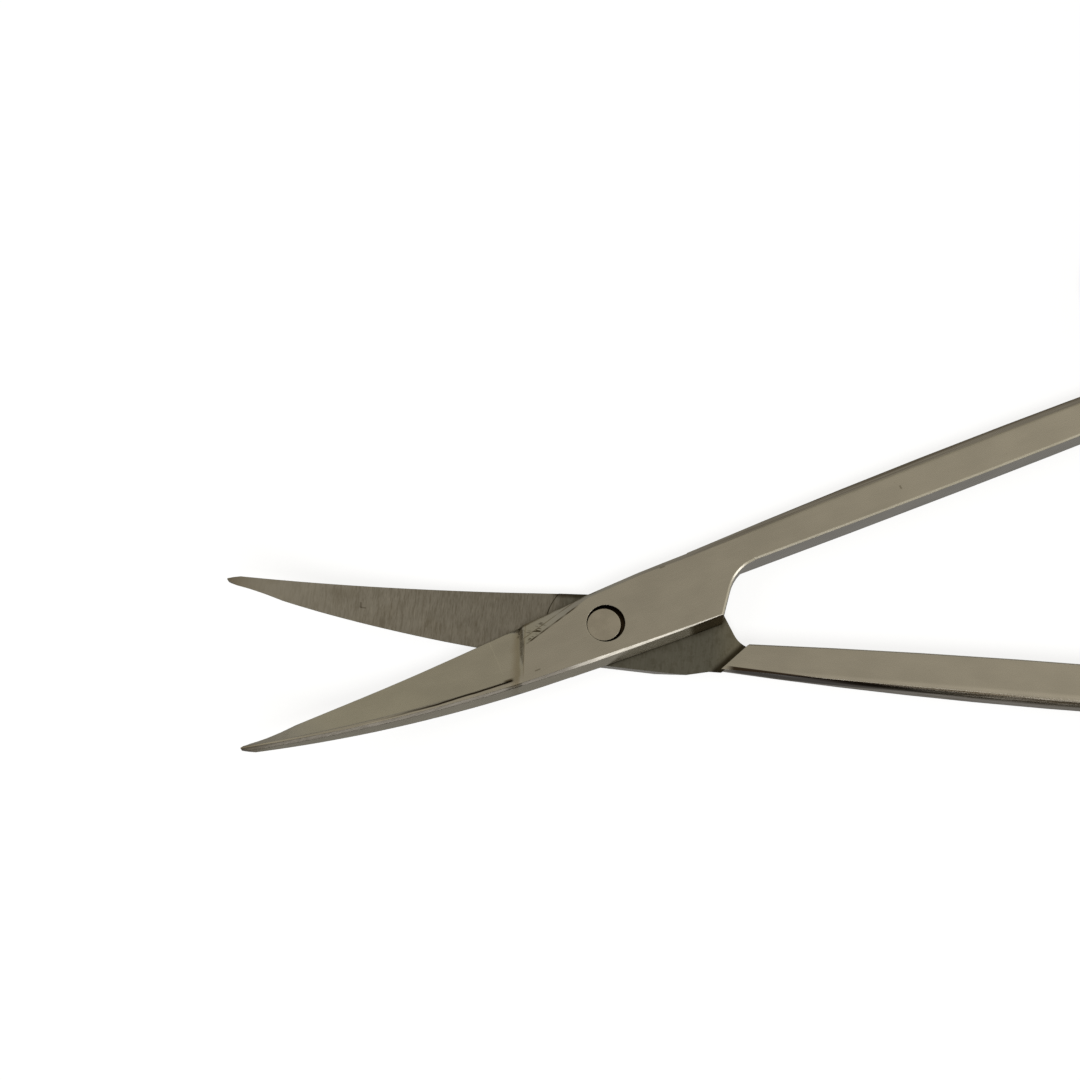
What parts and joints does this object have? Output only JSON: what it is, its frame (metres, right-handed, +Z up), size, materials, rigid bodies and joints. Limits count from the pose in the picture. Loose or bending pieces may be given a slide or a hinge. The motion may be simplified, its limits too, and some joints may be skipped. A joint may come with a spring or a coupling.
{
  "type": "dissecting scissors",
  "caption": "Curved dissecting scissors with slender pointed blades, a lap joint with a flush slotted pivot screw, and straight shanks ending in oval finger rings.",
  "frame": {"origin": "on the pivot axis, at the lower half's underside, which is the face the scissors lie on", "axes": "+X from the pivot towards the finger rings, midway between the two shanks as pictured; +Z up along the pivot axis, the way the blades curve; +Y towards the upper half's ring"},
  "size_m": [0.121, 0.0806, 0.0091],
  "materials": {
    "upper_steel": "satin ground stainless steel, warm grey, with bright worn edges",
    "lower_steel": "satin ground stainless steel, warm grey, coarser grinding on the ride face",
    "screw_steel": "satin ground stainless steel"
  },
  "bodies": {
    "lower": {"lower_half": "lower_steel"},
    "upper": {"upper_half": "upper_steel", "pivot_screw": "screw_steel"}
  },
  "joints": [
    {"name": "pivot", "type": "hinge", "parent": "lower", "child": "upper", "pos_m": [0, 0, 0], "axis": [0, 0, 1], "range_deg": [-27, 60]}
  ]
}
